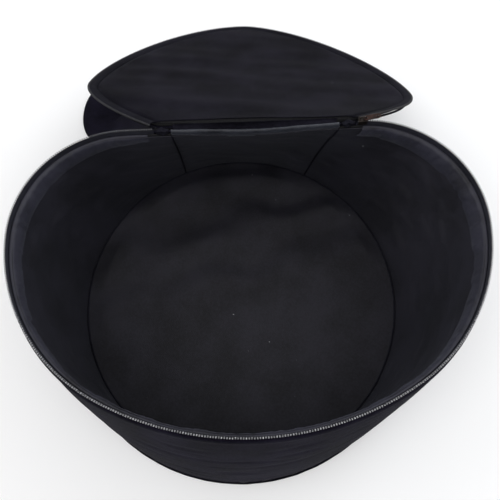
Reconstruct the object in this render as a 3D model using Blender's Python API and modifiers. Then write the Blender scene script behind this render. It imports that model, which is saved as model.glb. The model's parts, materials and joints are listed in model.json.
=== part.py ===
# Padded round carrying bag for a handpan, lying open: a soft drum with its zipped lid turned back.
# Metres, +Z up. The origin is the centre of the round base on the surface that the bag stands on,
# +Y points from the bag to its hinge and on to the opened lid, +X is to the right of that.

import math

import bmesh
import bpy
from mathutils import Matrix, Vector

# Base and wall
FLOOR_RADIUS = 0.280       # inside floor, lining to lining
BASE_PANEL = 0.0020        # outer base fabric with its stiffener
BASE_FOAM = 0.0062
WALL_FOAM = 0.0220         # at the base; it thins out towards the rim
LINING = 0.0012
SHELL_FABRIC = 0.0015
PLY_GAP = 0.0003           # between plies that touch
EDGE_GAP = 0.0010          # round edges and pieces side by side
WALL_BULGE = 0.006
BASE_PIPING_RADIUS = 0.0018
FLOOR_BINDING_RADIUS = 0.0012

# Mouth: a straight back, a lobe, a side and a front arc on each half, all tangent
MOUTH_HEIGHT = 0.2366      # table to the middle of the zip coil
MOUTH_BACK = 0.2226        # base centre to the straight back
MOUTH_STRAIGHT = 0.1862    # half of the straight back
LOBE_RADIUS = 0.168
SIDE_RADIUS = 0.2716
SIDE_SWEEP = math.radians(60)
MOUTH_SHIFT = 0.018        # the soft wall leans this far to +X
RIM_THICKNESS = 0.008
FACING_HEIGHT = 0.026
FACING = 0.0010
BASE_TWIST = math.radians(3.8)

# Zip
ZIP_LEAD = 0.0284          # seam of the hinge panel to the zip's end
TAPE_HEIGHT = 0.010
TAPE = 0.0010
COIL_RADIUS = 0.0018
END_TAB_LENGTH = 0.020
END_TAB_THICKNESS = 0.004
END_TAB_ROUNDING = 0.0008
SLIDER_LENGTH = 0.014
SLIDER_WALL = 0.0026
SLIDER_CLEARANCE = 0.0008
BAIL_RADIUS = 0.0046
BAIL_LIFT = 0.0016         # slider top to the middle of the round bail
BAIL_THICKNESS = 0.0018
PULL_LENGTH = 0.026
PULL_WIDTH = 0.008
PULL_THICKNESS = 0.0018
PULL_CLEARANCE = 0.0009
PULL_REST = math.radians(14)

# Hinge
HINGE_X = 0.0364           # middle of the hinge
HINGE_HALF = 0.1316        # half of the hinge panel
HINGE_RISE = 0.0059        # middle of the mouth's zip coil to the hinge axis
HINGE_BINDING_RADIUS = 0.0042
SEAM_BINDING_RADIUS = 0.0015
SEAM_GAP = 0.0008
HINGE_STRIP = 0.0025
END_TAB_CLEARANCE = 0.004  # between the end tabs, the hinge binding and the lid's corner
PANEL_STEPS = 6            # flats of the hinge panel, and of the wall between the facing's ends
FACING_STEPS = 42

# Lid
LID_LENGTH = 0.4530        # hinge axis to the far end of the zip coil
LID_ANGLE = math.radians(-31.5)
LID_HALF_WIDTH = 0.2840
LID_WIDEST = 0.1460        # hinge axis to the widest line
LID_POINTEDNESS = 1.65     # exponent of the far outline, 2 is an ellipse
LID_SLIDER_GAP = 0.0010
LID_BOW = 0.010
LID_ROLL = 0.08            # sideways sag per metre from the middle line
LID_FOAM = 0.0095
LID_EDGE_PIPING_RADIUS = 0.0018

# Shoulder straps, on the lid's outer face
STRAP_WIDTH = 0.080
STRAP_THICKNESS = 0.009
WEBBING_WIDTH = 0.025
WEBBING_THICKNESS = 0.0018
PATCH_THICKNESS = 0.0020
PATCH_SIZE = 0.040
PATCH_GAP = 0.0012         # panel to patch, as the panel between is curved
STRAP_GAP = 0.0026         # patch to strap, as the strap leaves it at an angle
UPPER_ANCHOR = 0.084       # hinge axis to the patches, along the lid
LOWER_ANCHOR = 0.372
UPPER_ANCHOR_X = 0.060     # middle of the hinge to the patches, across
LOWER_ANCHOR_X = 0.095
WEBBING_LEAD = 0.30        # share of the webbing that runs straight on from the buckle
STRAP_LIFT = 0.0006        # table to the straps, where they lie
BUCKLE_LENGTH = 0.030
BUCKLE_BAR = 0.0040
LEFT_REACH = -0.267        # middle of each strap where it lies farthest out
RIGHT_REACH = 0.235
# Where the pads hang: share of the way out, metres behind the wall's foot, share of the mouth's height
PAD_HANGS = ((0.36, 0.014, 0.470), (0.70, 0.036, 0.190), (0.91, 0.054, 0.051))
# Where they lie: share of the reach, share of the way from the wall's foot to the lower patch
PAD_LIES = ((1.0, 0.350), (0.98, 0.530), (0.85, 0.680))

WALL_TOP = MOUTH_HEIGHT - COIL_RADIUS - TAPE_HEIGHT - 2 * PLY_GAP
WALL_FOOT = BASE_PANEL + PLY_GAP
FLOOR_TOP = BASE_PANEL + BASE_FOAM + LINING + 2 * PLY_GAP
WALL_PLIES = LINING + SHELL_FABRIC + 2 * PLY_GAP
WALL_THICKNESS = WALL_FOAM + WALL_PLIES
OUTER_RADIUS = FLOOR_RADIUS + WALL_THICKNESS
LID_THICKNESS = LINING + LID_FOAM + SHELL_FABRIC + 2 * PLY_GAP
ZIP_HALF = HINGE_HALF + ZIP_LEAD                    # hinge centre to the zip's end, along the mouth
FACING_START = ZIP_HALF + END_TAB_LENGTH / 2
SLIDER_BORE = COIL_RADIUS + SLIDER_CLEARANCE
SLIDER_HALF = SLIDER_BORE + SLIDER_WALL
LID_HINGE_HALF = ZIP_HALF - END_TAB_CLEARANCE       # half width where the lid meets the hinge
LID_START = SLIDER_HALF + COIL_RADIUS + LID_SLIDER_GAP

HINGE_AXIS = Vector((HINGE_X, MOUTH_BACK, MOUTH_HEIGHT + HINGE_RISE))
LID_ALONG = Vector((0, math.cos(LID_ANGLE), math.sin(LID_ANGLE)))
LID_UP = Vector((0, -math.sin(LID_ANGLE), math.cos(LID_ANGLE)))

for old in list(bpy.data.objects):
    bpy.data.objects.remove(old)
collection = bpy.data.collections.new("handpan_bag")
bpy.context.scene.collection.children.link(collection)


# Materials

def make_material(name, color, roughness, metallic=0.0):
    material = bpy.data.materials.new(name)
    material.use_nodes = True
    shader = material.node_tree.nodes["Principled BSDF"]
    shader.inputs["Base Color"].default_value = (*color, 1)
    shader.inputs["Roughness"].default_value = roughness
    shader.inputs["Metallic"].default_value = metallic
    return material


SHELL_NYLON = make_material("shell_nylon", (0.012, 0.012, 0.016), 0.75)
LINING_NYLON = make_material("lining_nylon", (0.015, 0.015, 0.019), 0.8)
FOAM = make_material("foam", (0.12, 0.12, 0.13), 0.95)
BINDING = make_material("binding", (0.02, 0.02, 0.026), 0.55)
ZIP_COIL = make_material("zip_coil", (0.02, 0.02, 0.025), 0.35)
SLIDER_METAL = make_material("slider_metal", (0.10, 0.09, 0.075), 0.35, 0.9)
BUCKLE_PLASTIC = make_material("buckle_plastic", (0.015, 0.015, 0.017), 0.4)


# Building blocks

def add_object(name, mesh, material):
    mesh.materials.append(material)
    piece = bpy.data.objects.new(name, mesh)
    collection.objects.link(piece)
    return piece


def finish_mesh(name, bm, material):
    bmesh.ops.recalc_face_normals(bm, faces=bm.faces)
    mesh = bpy.data.meshes.new(name)
    bm.to_mesh(mesh)
    bm.free()
    return add_object(name, mesh, material)


def cap(bm, ring):
    """Closes a section with a ladder of faces between its first and its second half."""
    for i in range((len(ring) - 1) // 2):
        bm.faces.new(dict.fromkeys((ring[i], ring[i + 1], ring[-2 - i], ring[-1 - i])))


def loft(name, sections, material, cyclic=False):
    """A skin over like-numbered closed sections, capped at both ends unless it is cyclic."""
    bm = bmesh.new()
    rings = [[bm.verts.new(point) for point in section] for section in sections]
    pairs = list(zip(rings, rings[1:]))
    if cyclic:
        pairs.append((rings[-1], rings[0]))
    else:
        cap(bm, rings[0])
        cap(bm, rings[-1])
    for first, second in pairs:
        for i in range(len(first)):
            j = (i + 1) % len(first)
            bm.faces.new((first[i], second[i], second[j], first[j]))
    bmesh.ops.triangulate(bm, faces=bm.faces)
    return finish_mesh(name, bm, material)


def tube(name, points, radius, material, cyclic=False, sides=6):
    curve = bpy.data.curves.new(name, "CURVE")
    curve.dimensions = "3D"
    curve.bevel_depth = radius
    curve.bevel_resolution = sides // 2 - 2
    curve.use_fill_caps = True
    spline = curve.splines.new("POLY")
    spline.points.add(len(points) - 1)
    for spot, point in zip(spline.points, points):
        spot.co = (*point, 1)
    spline.use_cyclic_u = cyclic
    curve.materials.append(material)
    piece = bpy.data.objects.new(name, curve)
    collection.objects.link(piece)
    return piece


def disc(name, radius, bottom, thickness, material):
    bm = bmesh.new()
    place = Matrix.Translation((0, 0, bottom + thickness / 2))
    bmesh.ops.create_cone(bm, cap_ends=True, segments=64, radius1=radius, radius2=radius,
                          depth=thickness, matrix=place)
    return finish_mesh(name, bm, material)


def box(size, place):
    bm = bmesh.new()
    bmesh.ops.create_cube(bm, size=1.0, matrix=place @ Matrix.Diagonal((*size, 1)))
    return bm


def cylinder(radius, length, place):
    bm = bmesh.new()
    bmesh.ops.create_cone(bm, cap_ends=True, segments=12, radius1=radius, radius2=radius,
                          depth=length, matrix=place)
    return bm


def cut(piece, name, shape):
    """Takes a closed shape out of a piece."""
    cutter = finish_mesh(name, shape, piece.data.materials[0])
    collection.objects.unlink(cutter)
    cutters.objects.link(cutter)
    cutter.hide_render = True
    cutter.display_type = "WIRE"
    hole = piece.modifiers.new(name, "BOOLEAN")
    hole.operation = "DIFFERENCE"
    hole.object = cutter
    hole.solver = "EXACT"


def steps(first, last, count):
    return [first + (last - first) * i / count for i in range(count + 1)]


def heading(angle):
    return Vector((math.cos(angle), math.sin(angle)))


# The mouth, as distance along its outline from the middle of the hinge, clockwise from above

def mouth_arcs():
    """Centre, radius, first and last angle of the arcs of the half on the +X side."""
    lobe = Vector((MOUTH_STRAIGHT, MOUTH_BACK - LOBE_RADIUS))
    side = lobe - Vector((SIDE_RADIUS - LOBE_RADIUS, 0))
    front_radius = SIDE_RADIUS + side.x / math.cos(SIDE_SWEEP)
    front = side - (front_radius - SIDE_RADIUS) * heading(-SIDE_SWEEP)
    return [(lobe, LOBE_RADIUS, math.pi / 2, 0),
            (side, SIDE_RADIUS, 0, -SIDE_SWEEP),
            (front, front_radius, -SIDE_SWEEP, -math.pi / 2)]


MOUTH_LENGTH = 2 * (MOUTH_STRAIGHT + sum(r * (a - b) for _, r, a, b in mouth_arcs()))


def mouth(distance, outward=0.0):
    """Point and outward direction on the mouth's outline, or on a parallel of it."""
    along = (distance + HINGE_X - MOUTH_SHIFT) % MOUTH_LENGTH
    side = 1
    if along > MOUTH_LENGTH / 2:
        along = MOUTH_LENGTH - along
        side = -1
    if along <= MOUTH_STRAIGHT:
        point, normal = Vector((along, MOUTH_BACK)), Vector((0, 1))
    else:
        along -= MOUTH_STRAIGHT
        for centre, radius, first, last in mouth_arcs():
            angle = first - along / radius
            if angle >= last - 1e-9:
                break
            along -= radius * (first - last)
        normal = heading(angle)
        point = centre + radius * normal
    point = point + outward * normal
    return Vector((side * point.x + MOUTH_SHIFT, point.y)), Vector((side * normal.x, normal.y))


# The wall: straight lines from the round base to the mouth, with a little bulge between

WALL_HEIGHTS = [WALL_FOOT, FLOOR_TOP] + steps(FLOOR_TOP, WALL_TOP - FACING_HEIGHT, 3)[1:] + [WALL_TOP]


def wall_row(distance, height):
    """Inner and outer points of the wall at one of its heights."""
    base = heading(math.pi / 2 - BASE_TWIST - 2 * math.pi * distance / MOUTH_LENGTH)
    rise = max(0.0, (height - FLOOR_TOP) / (WALL_TOP - FLOOR_TOP))
    bulge = 4 * WALL_BULGE * rise * (1 - rise)
    row = []
    for radius, outward in ((FLOOR_RADIUS, -RIM_THICKNESS / 2), (OUTER_RADIUS, RIM_THICKNESS / 2)):
        top, normal = mouth(distance, outward)
        spot = (base * radius).lerp(top, rise) + bulge * normal
        row.append(Vector((*spot, height)))
    return row


def wall_point(distance, height, depth=0.0, from_outside=False):
    """A point at a depth into the wall, on the flats between the wall's rows."""
    upper = next(i for i, z in enumerate(WALL_HEIGHTS) if height <= z + 1e-9)
    upper = max(upper, 1)
    low, high = WALL_HEIGHTS[upper - 1:upper + 1]
    share = (height - low) / (high - low)
    inner, outer = (a.lerp(b, share) for a, b in zip(wall_row(distance, low), wall_row(distance, high)))
    through = (outer - inner).normalized()
    return outer - depth * through if from_outside else inner + depth * through


def wall_section(distance, inner_depth, outer_depth, heights, outer_from_outside=False,
                 inner_from_outside=False):
    inside = [wall_point(distance, z, inner_depth, inner_from_outside) for z in heights]
    outside = [wall_point(distance, z, outer_depth, outer_from_outside) for z in heights]
    return inside + outside[::-1]


def build_wall():
    panel = steps(-HINGE_HALF, HINGE_HALF, PANEL_STEPS)
    facing = steps(FACING_START, MOUTH_LENGTH - FACING_START, FACING_STEPS)
    rest = [HINGE_HALF] + facing + [MOUTH_LENGTH - HINGE_HALF]
    around = panel + facing
    foam_in = LINING + PLY_GAP
    foam_out = SHELL_FABRIC + PLY_GAP
    loft("wall_outer_panel", [wall_section(s, SHELL_FABRIC, 0, WALL_HEIGHTS, True, True) for s in around],
         SHELL_NYLON, cyclic=True)
    loft("wall_foam_pad", [wall_section(s, foam_in, foam_out, WALL_HEIGHTS, True) for s in around],
         FOAM, cyclic=True)
    panel[0] += SEAM_GAP / 2
    panel[-1] -= SEAM_GAP / 2
    rest[0] += SEAM_GAP / 2
    rest[-1] -= SEAM_GAP / 2
    loft("hinge_panel_lining", [wall_section(s, 0, LINING, WALL_HEIGHTS) for s in panel], LINING_NYLON)
    loft("wall_lining", [wall_section(s, 0, LINING, WALL_HEIGHTS) for s in rest], LINING_NYLON)
    loft("rim_facing_band", [wall_section(s, -PLY_GAP - FACING, -PLY_GAP, WALL_HEIGHTS[-2:]) for s in facing],
         LINING_NYLON)
    clear = SEAM_BINDING_RADIUS + 2 * PLY_GAP
    heights = [FLOOR_TOP + 3 * FLOOR_BINDING_RADIUS] + WALL_HEIGHTS[2:-1] + [WALL_TOP - 2 * COIL_RADIUS]
    for name, s in (("left_seam_binding", -HINGE_HALF), ("right_seam_binding", HINGE_HALF)):
        tube(name, [wall_point(s, z, -clear) for z in heights], SEAM_BINDING_RADIUS, BINDING)


def build_base():
    disc("base_outer_panel", OUTER_RADIUS, 0, BASE_PANEL, SHELL_NYLON)
    widest_flat = max(2 * HINGE_HALF / PANEL_STEPS, (MOUTH_LENGTH - 2 * FACING_START) / FACING_STEPS)
    inner_radius = FLOOR_RADIUS * math.cos(math.pi * widest_flat / MOUTH_LENGTH) - PLY_GAP
    lean = max(0, FLOOR_RADIUS - MOUTH_BACK + RIM_THICKNESS / 2) / (WALL_TOP - FLOOR_TOP)
    binding_inset = PLY_GAP + lean * (2 * FLOOR_BINDING_RADIUS + PLY_GAP)
    disc("base_foam_pad", inner_radius, BASE_PANEL + PLY_GAP, BASE_FOAM, FOAM)
    disc("base_lining", inner_radius, FLOOR_TOP - LINING, LINING, LINING_NYLON)
    ring("base_piping", OUTER_RADIUS + BASE_PIPING_RADIUS + EDGE_GAP, BASE_PIPING_RADIUS, BASE_PIPING_RADIUS)
    ring("floor_seam_binding", inner_radius - FLOOR_BINDING_RADIUS - binding_inset,
         FLOOR_TOP + FLOOR_BINDING_RADIUS + PLY_GAP, FLOOR_BINDING_RADIUS)


def ring(name, radius, height, thickness):
    bpy.ops.mesh.primitive_torus_add(location=(0, 0, height), major_radius=radius, minor_radius=thickness,
                                     major_segments=64, minor_segments=6)
    torus = bpy.context.object
    torus.name = name
    torus.data.materials.append(BINDING)
    for home in torus.users_collection:
        home.objects.unlink(torus)
    collection.objects.link(torus)


# The zip half that is sewn to the mouth, and its slider

def mouth_zip_stations():
    """Close together on the lobe that the slider runs round, wider elsewhere."""
    lobe_start = MOUTH_STRAIGHT + MOUTH_SHIFT - HINGE_X
    lobe_end = lobe_start + LOBE_RADIUS * math.pi / 2
    far_end = MOUTH_LENGTH - ZIP_HALF
    return [ZIP_HALF] + steps(lobe_start, lobe_end, 16) + steps(lobe_end, far_end, 36)[1:]


def build_mouth_zip():
    low = WALL_TOP + PLY_GAP
    high = low + TAPE_HEIGHT
    tape, coil = [], []
    for s in mouth_zip_stations():
        inner, outer = mouth(s, -TAPE / 2)[0], mouth(s, TAPE / 2)[0]
        tape.append([(*inner, low), (*inner, high), (*outer, high), (*outer, low)])
        coil.append((*mouth(s)[0], MOUTH_HEIGHT))
    loft("mouth_zip_tape", tape, BINDING)
    tube("mouth_zip_coil", coil, COIL_RADIUS, ZIP_COIL)
    tab_middle = HINGE_HALF + (ZIP_HALF - HINGE_HALF) / 2
    for name, s in (("left_zip_end_tab", -tab_middle), ("right_zip_end_tab", tab_middle)):
        spot = mouth(s)[0]
        place = Matrix.Translation((*spot, low + TAPE_HEIGHT / 2))
        tab = finish_mesh(name, box((END_TAB_LENGTH, END_TAB_THICKNESS, TAPE_HEIGHT), place), BINDING)
        rounding = tab.modifiers.new("rounded_edges", "BEVEL")
        rounding.width = END_TAB_ROUNDING
        rounding.segments = 1


def build_slider():
    """A block round the coil, open below for the tape, with a bail on top and a pull."""
    start = MOUTH_STRAIGHT + MOUTH_SHIFT - HINGE_X
    centre, _ = mouth(start)
    middle = Matrix.Translation((*centre, MOUTH_HEIGHT))
    size = (SLIDER_LENGTH, 2 * SLIDER_HALF, 2 * SLIDER_HALF)
    slider = finish_mesh("zip_slider", box(size, middle), SLIDER_METAL)
    along_x = Matrix.Rotation(math.pi / 2, 4, "Y")
    cut(slider, "coil_channel", cylinder(SLIDER_BORE, 2 * SLIDER_LENGTH, middle @ along_x))
    below = middle @ Matrix.Translation((0, 0, -SLIDER_HALF))
    cut(slider, "tape_slot", box((2 * SLIDER_LENGTH, TAPE + 2 * SLIDER_CLEARANCE, 2 * SLIDER_HALF), below))
    top = MOUTH_HEIGHT + SLIDER_HALF
    arch = Vector((centre.x, centre.y, top + BAIL_LIFT))
    bend = [arch + BAIL_RADIUS * Vector((math.cos(a), 0, math.sin(a))) for a in steps(0, math.pi, 8)]
    feet = [Vector((end.x, end.y, top + PLY_GAP)) for end in (bend[0], bend[-1])]
    tube("slider_bail", [feet[0]] + bend + [feet[1]], BAIL_THICKNESS / 2, SLIDER_METAL)
    build_pull(arch)


def build_pull(arch):
    """A flat plate threaded on the round bail, so it swings about the middle of the bail."""
    bm = bmesh.new()
    outline = []
    half = PULL_WIDTH / 2
    for first, middle in ((math.pi / 2, BAIL_RADIUS), (-math.pi / 2, BAIL_RADIUS + PULL_LENGTH - PULL_WIDTH)):
        for turn in steps(0, math.pi, 8):
            outline.append((middle + half * math.cos(first + turn), half * math.sin(first + turn)))
    face = bm.faces.new([bm.verts.new((x, y, -PULL_THICKNESS / 2)) for x, y in outline])
    extruded = bmesh.ops.extrude_face_region(bm, geom=[face])
    moved = [item for item in extruded["geom"] if isinstance(item, bmesh.types.BMVert)]
    bmesh.ops.translate(bm, vec=(0, 0, PULL_THICKNESS), verts=moved)
    plate = finish_mesh("pull_tab", bm, SLIDER_METAL)
    plate.matrix_world = Matrix.Translation(arch) @ Matrix.Rotation(-PULL_REST, 4, "Y")
    tip = BAIL_RADIUS + PULL_LENGTH - PULL_WIDTH
    eye = BAIL_THICKNESS / 2 + PULL_CLEARANCE
    for name, x, radius in (("eye", BAIL_RADIUS, eye), ("tip_hole", tip, PULL_WIDTH / 4)):
        spot = plate.matrix_world @ Matrix.Translation((x, 0, 0))
        cut(plate, name, cylinder(radius, 4 * PULL_THICKNESS, spot))


def build_hinge():
    """The bound top edge of the hinge panel, and the strip from there to the lid."""
    height = WALL_TOP + PLY_GAP + HINGE_BINDING_RADIUS
    ends = [(mouth(s)[0].x, MOUTH_BACK, height) for s in (-HINGE_HALF, HINGE_HALF)]
    inset = END_TAB_CLEARANCE
    tube("hinge_binding", [(ends[0][0] + inset, *ends[0][1:]), (ends[1][0] - inset, *ends[1][1:])],
         HINGE_BINDING_RADIUS, BINDING, sides=8)
    half = HINGE_HALF - inset
    strip = []
    for q in (HINGE_STRIP, LID_START - PLY_GAP):
        strip.append([lid_point(HINGE_X + x, q, depth) for x, depth in
                      ((-half, 0), (half, 0), (half, HINGE_STRIP), (-half, HINGE_STRIP))])
    loft("lid_hinge_strip", strip, SHELL_NYLON)


# The lid, as x across and distance from the hinge axis, with depth measured down from its inner face

def lid_point(x, distance, depth=0.0):
    share = distance / LID_LENGTH
    roll = LID_ROLL * (x - HINGE_X) * math.sin(math.pi / 2 * min(1, distance / LID_WIDEST))
    height = -4 * LID_BOW * share * (1 - share) - roll - depth
    return HINGE_AXIS + Vector((x - HINGE_X, 0, 0)) + distance * LID_ALONG + height * LID_UP


def lid_half_outline(turn):
    """Half width and distance from the hinge, for turn 0 at the near edge to 2 at the far end."""
    if turn <= 1:
        distance = LID_START + (LID_WIDEST - LID_START) * turn
        flare = math.sin(math.pi / 2 * distance / LID_WIDEST)
        return Vector((LID_HINGE_HALF + (LID_HALF_WIDTH - LID_HINGE_HALF) * flare, distance))
    angle = math.pi / 2 * (turn - 1)
    power = 2 / LID_POINTEDNESS
    return Vector((LID_HALF_WIDTH * math.cos(angle) ** power if turn < 2 else 0,
                   LID_WIDEST + (LID_LENGTH - LID_WIDEST) * math.sin(angle) ** power))


def lid_outline(inset):
    """Points from the right hinge corner round the far end to the left one, moved inward."""
    turns = steps(0, 1, 6) + steps(1, 2, 9)[1:]
    half = []
    for turn in turns:
        before = lid_half_outline(max(0, turn - 0.01))
        after = lid_half_outline(min(2, turn + 0.01))
        along = (after - before).normalized()
        inward = Vector((0, -1)) if turn == 2 else Vector((-along.y, along.x))
        spot = lid_half_outline(turn) + inset * inward
        spot.y = max(spot.y, LID_START)
        half.append(spot)
    left = [Vector((-spot.x, spot.y)) for spot in reversed(half[:-1])]
    return [Vector((HINGE_X + spot.x, spot.y)) for spot in half + left]


def lid_sheet(name, inset, top, thickness, material):
    outline = lid_outline(inset)
    middle = Vector((HINGE_X, LID_WIDEST))
    shares = (0.04, 0.36, 0.68, 1.0)
    rings = [(share, top) for share in shares] + [(share, top + thickness) for share in reversed(shares)]
    sections = []
    for share, depth in rings:
        sections.append([lid_point(*middle.lerp(spot, share), depth) for spot in outline])
    loft(name, sections, material)


def build_lid():
    panel = 2 * COIL_RADIUS + TAPE_HEIGHT + 2 * PLY_GAP
    lid_sheet("lid_lining", panel, 0, LINING, LINING_NYLON)
    lid_sheet("lid_foam_pad", panel + EDGE_GAP, LINING + PLY_GAP, LID_FOAM, FOAM)
    lid_sheet("lid_outer_panel", panel, LID_THICKNESS - SHELL_FABRIC, SHELL_FABRIC, SHELL_NYLON)
    tape = []
    for near, far in zip(lid_outline(2 * COIL_RADIUS + PLY_GAP), lid_outline(panel - PLY_GAP)):
        tape.append([lid_point(*near, 0), lid_point(*far, 0), lid_point(*far, TAPE), lid_point(*near, TAPE)])
    loft("lid_zip_tape", tape, BINDING)
    coil = [lid_point(*spot, TAPE / 2) for spot in lid_outline(COIL_RADIUS)]
    tube("lid_zip_coil", coil, COIL_RADIUS, ZIP_COIL)
    piping = lid_outline(panel - LID_EDGE_PIPING_RADIUS - PLY_GAP)
    tube("lid_edge_piping", [lid_point(*spot, LID_THICKNESS - LID_EDGE_PIPING_RADIUS) for spot in piping],
         LID_EDGE_PIPING_RADIUS, BINDING)


# Shoulder straps

def smooth_path(points, count):
    """Points on a smooth curve through the given ones."""
    ends = [2 * points[0] - points[1]] + points + [2 * points[-1] - points[-2]]
    path = []
    for k in steps(0, len(points) - 1, count):
        i = min(int(k), len(points) - 2)
        t = k - i
        a, b, c, d = ends[i:i + 4]
        path.append(0.5 * (2 * b + (c - a) * t + (2 * a - 5 * b + 4 * c - d) * t ** 2
                           + (3 * b - a - 3 * c + d) * t ** 3))
    return path


def band(name, points, ups, width, thickness, count, material):
    """A flat strap along a smooth path, turned from the first up direction to the second."""
    path = smooth_path(points, count)
    sections = []
    for i, spot in enumerate(path):
        along = path[min(i + 1, count)] - path[max(i - 1, 0)]
        across = along.cross(ups[0].lerp(ups[1], min(1, 2 * i / count))).normalized()
        up = across.cross(along).normalized()
        side, lift = across * width / 2, up * thickness / 2
        sections.append([spot - side - lift, spot + side - lift, spot + side + lift, spot - side + lift])
    loft(name, sections, material)
    return path, across, up


def lid_patch(name, x, distance, size, depth, thickness, material):
    half = size / 2
    sections = []
    for q in steps(distance - half, distance + half, 2):
        corners = ((-half, depth), (half, depth), (half, depth + thickness), (-half, depth + thickness))
        sections.append([lid_point(x + across, q, down) for across, down in corners])
    loft(name, sections, material)


def build_strap(side, name, reach):
    patch_depth = LID_THICKNESS + PATCH_GAP
    strap_depth = patch_depth + PATCH_THICKNESS + STRAP_GAP
    top_x = HINGE_X + side * UPPER_ANCHOR_X
    low_x = HINGE_X + side * LOWER_ANCHOR_X
    lid_patch(name + "_upper_patch", top_x, UPPER_ANCHOR, PATCH_SIZE, patch_depth, PATCH_THICKNESS, BINDING)
    lid_patch(name + "_lower_patch", low_x, LOWER_ANCHOR, PATCH_SIZE, patch_depth, PATCH_THICKNESS, BINDING)
    start = lid_point(top_x, UPPER_ANCHOR, strap_depth + STRAP_THICKNESS / 2)
    run = reach - top_x
    resting = STRAP_THICKNESS / 2 + STRAP_LIFT
    way = MOUTH_BACK + LOWER_ANCHOR * LID_ALONG.y - OUTER_RADIUS
    pad = [start]
    for out, behind, rise in PAD_HANGS:
        pad.append(Vector((top_x + out * run, OUTER_RADIUS + behind, rise * MOUTH_HEIGHT)))
    for out, share in PAD_LIES:
        pad.append(Vector((out * reach, OUTER_RADIUS + share * way, resting)))
    path, across, up = band(name + "_pad", pad, (LID_UP, Vector((0, 0, 1))), STRAP_WIDTH, STRAP_THICKNESS,
                            18, SHELL_NYLON)
    along = (path[-1] - path[-2]).normalized()
    build_buckle(name + "_buckle", path[-1] + along * (BUCKLE_LENGTH / 2 + EDGE_GAP), along, across, up)
    leave = path[-1] + along * (BUCKLE_LENGTH + 4 * EDGE_GAP)
    finish = lid_point(low_x, LOWER_ANCHOR, strap_depth + WEBBING_THICKNESS / 2)
    span = (finish - leave).length
    bend = leave + WEBBING_LEAD * span * along
    webbing = [leave, bend, bend.lerp(finish, 0.5), finish]
    ends_up = (Vector((0, 0, 1)), LID_UP)
    band(name + "_webbing", webbing, ends_up, WEBBING_WIDTH, WEBBING_THICKNESS, 10, BINDING)


def build_buckle(name, centre, along, across, up):
    """A ladder lock: two side bars with three cross bars between."""
    place = Matrix((along, across, up)).transposed().to_4x4()
    place.translation = centre
    half_length = BUCKLE_LENGTH / 2
    half_width = WEBBING_WIDTH / 2 + BUCKLE_BAR + PLY_GAP
    frame = finish_mesh(name, box((BUCKLE_LENGTH, 2 * half_width, BUCKLE_BAR), place), BUCKLE_PLASTIC)
    window = (BUCKLE_LENGTH - 3 * BUCKLE_BAR) / 2
    for sign in (-1, 1):
        shift = Matrix.Translation((sign * (half_length - BUCKLE_BAR - window / 2), 0, 0))
        cut(frame, "window", box((window, WEBBING_WIDTH + 2 * PLY_GAP, 2 * BUCKLE_BAR), place @ shift))


cutters = bpy.data.collections.new("cutters")
bpy.context.scene.collection.children.link(cutters)

build_base()
build_wall()
build_mouth_zip()
build_slider()
build_hinge()
build_lid()
build_strap(-1, "left_strap", LEFT_REACH)
build_strap(1, "right_strap", RIGHT_REACH)
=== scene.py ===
# Looks for the padded handpan bag: black nylon cloth over foam, a zip round the mouth and the lid,
# a slider with its pull, and two padded shoulder straps. Metres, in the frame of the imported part.

import json
import math

import bmesh
import bpy
from mathutils import Matrix, Vector, noise


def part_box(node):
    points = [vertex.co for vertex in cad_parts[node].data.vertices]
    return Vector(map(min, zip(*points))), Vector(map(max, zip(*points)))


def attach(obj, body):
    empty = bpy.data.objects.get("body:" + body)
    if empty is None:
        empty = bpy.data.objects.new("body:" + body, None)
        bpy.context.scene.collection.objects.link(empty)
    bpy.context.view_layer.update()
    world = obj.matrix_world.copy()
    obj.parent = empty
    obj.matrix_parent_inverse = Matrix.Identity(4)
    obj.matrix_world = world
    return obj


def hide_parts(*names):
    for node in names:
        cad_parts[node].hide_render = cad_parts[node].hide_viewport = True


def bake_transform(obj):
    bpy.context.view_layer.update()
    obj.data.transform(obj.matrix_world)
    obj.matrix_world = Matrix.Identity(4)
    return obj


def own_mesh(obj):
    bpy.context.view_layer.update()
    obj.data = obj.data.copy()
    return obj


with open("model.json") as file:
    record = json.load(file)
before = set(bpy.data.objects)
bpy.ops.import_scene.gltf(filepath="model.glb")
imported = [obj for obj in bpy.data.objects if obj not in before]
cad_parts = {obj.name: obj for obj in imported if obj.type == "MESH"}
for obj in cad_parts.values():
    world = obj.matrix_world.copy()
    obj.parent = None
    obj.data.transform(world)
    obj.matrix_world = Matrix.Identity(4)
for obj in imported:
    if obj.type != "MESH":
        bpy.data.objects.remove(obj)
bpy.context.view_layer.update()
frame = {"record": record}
joints = {joint["name"]: joint for joint in frame["record"]["behaviour"]["joints"]}
hingeAxis = Vector(joints["lid_hinge"]["pos_m"])
lobeCentre = Vector(joints["slider_travel"]["pos_m"])  # the slider runs round this lobe of the mouth
pullAxis = Vector(joints["pull_swing"]["pos_m"])
halfTurn = math.pi / 2


# Camera, light and floor

view = {
    "place": (0.0190, -0.2416, 1.0007),
    "down": 71.24,      # degrees below the horizon
    "turn": 0.23,
    "roll": -2.24,
    "lens": 40.32,
    "floor": (0.93, 0.93, 0.935),
}
lamps = {
    "overhead": {"place": (-0.3, -0.5, 2.2), "size": 1.8, "power": 17, "tint": (1.0, 0.99, 0.98)},
    "window": {"place": (1.8, 1.2, 1.5), "size": 1.6, "power": 22, "tint": (0.93, 0.96, 1.0)},
    "fill": {"place": (-1.9, 0.7, 1.2), "size": 1.6, "power": 9, "tint": (0.95, 0.96, 1.0)},
    "world": 0.70,
}


def axesAt(x, y, z, place):
    # the matrix whose axes are x, y and z, at a place
    matrix = Matrix((x, y, z)).transposed().to_4x4()
    matrix.translation = place
    return matrix


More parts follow.
